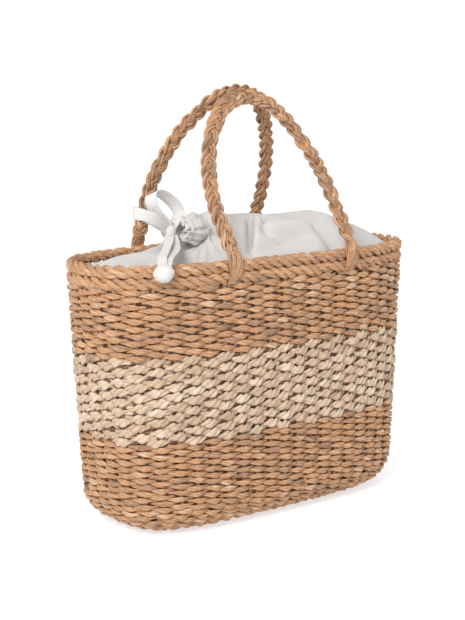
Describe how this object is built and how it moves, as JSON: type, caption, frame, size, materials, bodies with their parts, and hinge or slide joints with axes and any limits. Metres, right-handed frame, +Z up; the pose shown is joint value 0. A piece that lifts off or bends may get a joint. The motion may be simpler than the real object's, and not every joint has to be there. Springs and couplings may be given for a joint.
{
  "type": "woven market basket",
  "caption": "Oval twin-handled woven plant-fibre market basket with a pale middle band and a gathered cotton drawstring liner.",
  "frame": {"origin": "centre of the underside, on the surface that the basket stands on", "axes": "+X along the basket's long side, +Y across it towards the back handle, +Z up"},
  "size_m": [0.42, 0.1769, 0.449],
  "materials": {
    "seagrass": "natural matt plant fibre",
    "pale_cord": "bleached matt plant fibre cord",
    "stake": "raw cane",
    "cotton": "plain-woven white cotton",
    "tape": "flat cotton tape"
  },
  "bodies": {
    "basket": {"base_weave": "seagrass", "foot_row": "seagrass", "lower_weave": "seagrass", "middle_weave": "pale_cord", "upper_weave": "seagrass", "rim_border_lower": "seagrass", "rim_border_upper": "seagrass", "side_stakes": "stake", "front_left_foot": "seagrass", "front_right_foot": "seagrass", "back_left_foot": "seagrass", "back_right_foot": "seagrass", "liner_bag": "cotton", "liner_crown": "cotton", "liner_frill": "cotton", "drawstring_cinch": "tape", "drawstring_bow_knot": "tape", "drawstring_end_knot": "tape", "drawstring_upper_loop": "tape", "drawstring_side_loop": "tape", "drawstring_first_tail": "tape", "drawstring_second_tail": "tape"},
    "front_handle": {"front_handle_strand_1": "seagrass", "front_handle_strand_2": "seagrass", "front_handle_strand_3": "seagrass"},
    "back_handle": {"back_handle_strand_1": "seagrass", "back_handle_strand_2": "seagrass", "back_handle_strand_3": "seagrass"}
  },
  "joints": [
    {"name": "front_handle_swing", "type": "hinge", "parent": "basket", "child": "front_handle", "pos_m": [0, -0.08422, 0.28], "axis": [1, 0, 0], "range_deg": [0, 114]},
    {"name": "back_handle_swing", "type": "hinge", "parent": "basket", "child": "back_handle", "pos_m": [0, 0.08422, 0.28], "axis": [-1, 0, 0], "range_deg": [0, 114]}
  ]
}
